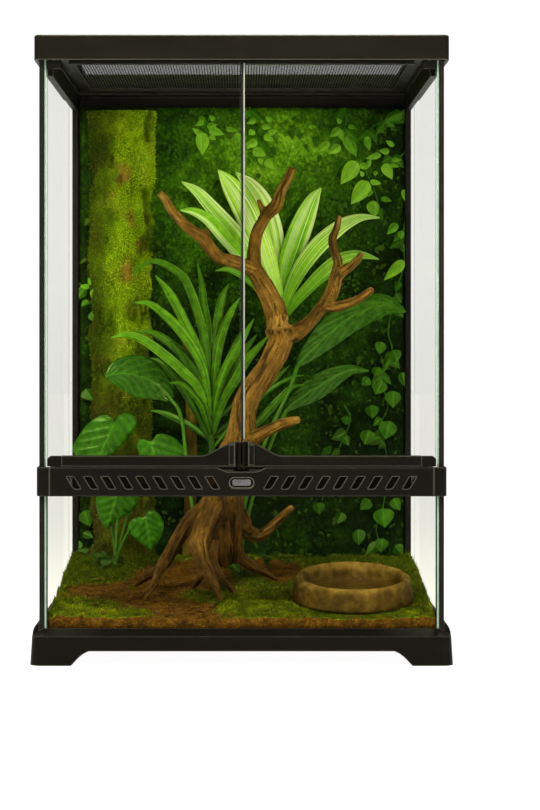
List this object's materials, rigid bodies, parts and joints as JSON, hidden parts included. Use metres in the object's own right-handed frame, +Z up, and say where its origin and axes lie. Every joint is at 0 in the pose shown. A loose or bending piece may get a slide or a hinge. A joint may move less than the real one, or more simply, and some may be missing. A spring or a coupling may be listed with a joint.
{
  "type": "stick insect enclosure",
  "caption": "Tall glass terrarium with twin front doors over a slotted vent strip, a lift-off mesh top and a planted interior with branch and water dish.",
  "frame": {"origin": "on the ground under the middle of the enclosure", "axes": "+Z up, front doors face -Y, +X to the right seen from the front"},
  "size_m": [0.314, 0.314, 0.4673],
  "materials": {
    "frame_black": "fine moulded texture",
    "door_black": "satin moulded",
    "lid_black": "satin moulded",
    "clear_glass": "clear float glass",
    "edge_glass": "polished clear strip",
    "seal": "matt",
    "steel_pin": "satin",
    "wire_mesh": "black coated woven mesh",
    "badge_metal": "satin",
    "background": "moulded leaf relief, painted",
    "bark_moss": "bark grown over with moss",
    "driftwood": "grooved driftwood",
    "soil": "crumbly coconut fibre soil",
    "moss": "living cushion moss",
    "stone": "cast rock",
    "water": "still water",
    "leaf_bright": "thin glossy leaf",
    "leaf_striped": "striped leaf",
    "leaf_broad": "ribbed leaf",
    "leaf_heart": "ribbed heart-shaped leaf"
  },
  "bodies": {
    "tank": {"background_panel": "background", "badge_plate": "badge_metal", "base_frame": "frame_black", "broad_leaf_plant": "leaf_broad", "door_strike": "steel_pin", "dracaena_plant": "leaf_bright", "driftwood_branch": "driftwood", "floor_glass": "clear_glass", "front_left_post": "frame_black", "front_lower_glass": "clear_glass", "front_right_post": "frame_black", "front_silicone_seams": "seal", "heart_leaf_plant": "leaf_heart", "left_side_glass": "clear_glass", "left_strip_cap": "frame_black", "lower_hinge_pins": "steel_pin", "moss_patches": "moss", "mossy_trunk": "bark_moss", "rear_glass": "clear_glass", "rear_left_trim": "frame_black", "rear_right_trim": "frame_black", "right_side_glass": "clear_glass", "right_strip_cap": "frame_black", "striped_plant": "leaf_striped", "substrate": "soil", "top_frame": "frame_black", "vent_mesh": "wire_mesh", "vent_strip": "frame_black"},
    "left_door": {"left_door_glass": "clear_glass", "left_door_rail": "door_black", "left_hinge_knuckle": "door_black", "left_door_grip": "door_black", "left_door_catch": "door_black", "left_edge_strip": "edge_glass", "left_door_gasket": "seal", "left_top_pivot": "door_black", "left_top_hinge_pin": "steel_pin"},
    "right_door": {"right_door_glass": "clear_glass", "right_door_rail": "door_black", "right_hinge_knuckle": "door_black", "right_door_grip": "door_black", "right_door_catch": "door_black", "right_edge_strip": "edge_glass", "right_door_gasket": "seal", "right_top_pivot": "door_black", "right_top_hinge_pin": "steel_pin"},
    "screen_cover": {"screen_frame": "lid_black", "screen_mesh": "wire_mesh"},
    "left_latch": {"left_screen_latch": "lid_black"},
    "right_latch": {"right_screen_latch": "lid_black"},
    "left_gate": {"left_cable_gate": "lid_black"},
    "right_gate": {"right_cable_gate": "lid_black"},
    "dish": {"water_dish": "stone", "dish_water": "water"}
  },
  "joints": [
    {"name": "left_door_hinge", "type": "hinge", "parent": "tank", "child": "left_door", "pos_m": [-0.1394, -0.1493, 0.1473], "axis": [0, 0, -1], "range_deg": [0, 110]},
    {"name": "right_door_hinge", "type": "hinge", "parent": "tank", "child": "right_door", "pos_m": [0.1394, -0.1493, 0.1473], "axis": [0, 0, 1], "range_deg": [0, 110]},
    {"name": "screen_lift", "type": "slide", "parent": "tank", "child": "screen_cover", "axis": [0, 0, 1], "range_m": [0, 0.06]},
    {"name": "left_latch_slide", "type": "slide", "parent": "tank", "child": "left_latch", "axis": [1, 0, 0], "range_m": [0, 0.0036]},
    {"name": "right_latch_slide", "type": "slide", "parent": "tank", "child": "right_latch", "axis": [-1, 0, 0], "range_m": [0, 0.0036]},
    {"name": "left_gate_slide", "type": "slide", "parent": "tank", "child": "left_gate", "axis": [1, 0, 0], "range_m": [0, 0.0313]},
    {"name": "right_gate_slide", "type": "slide", "parent": "tank", "child": "right_gate", "axis": [-1, 0, 0], "range_m": [0, 0.0313]},
    {"name": "dish_lift", "type": "slide", "parent": "tank", "child": "dish", "axis": [0, 0, 1], "range_m": [0, 0.06]}
  ]
}
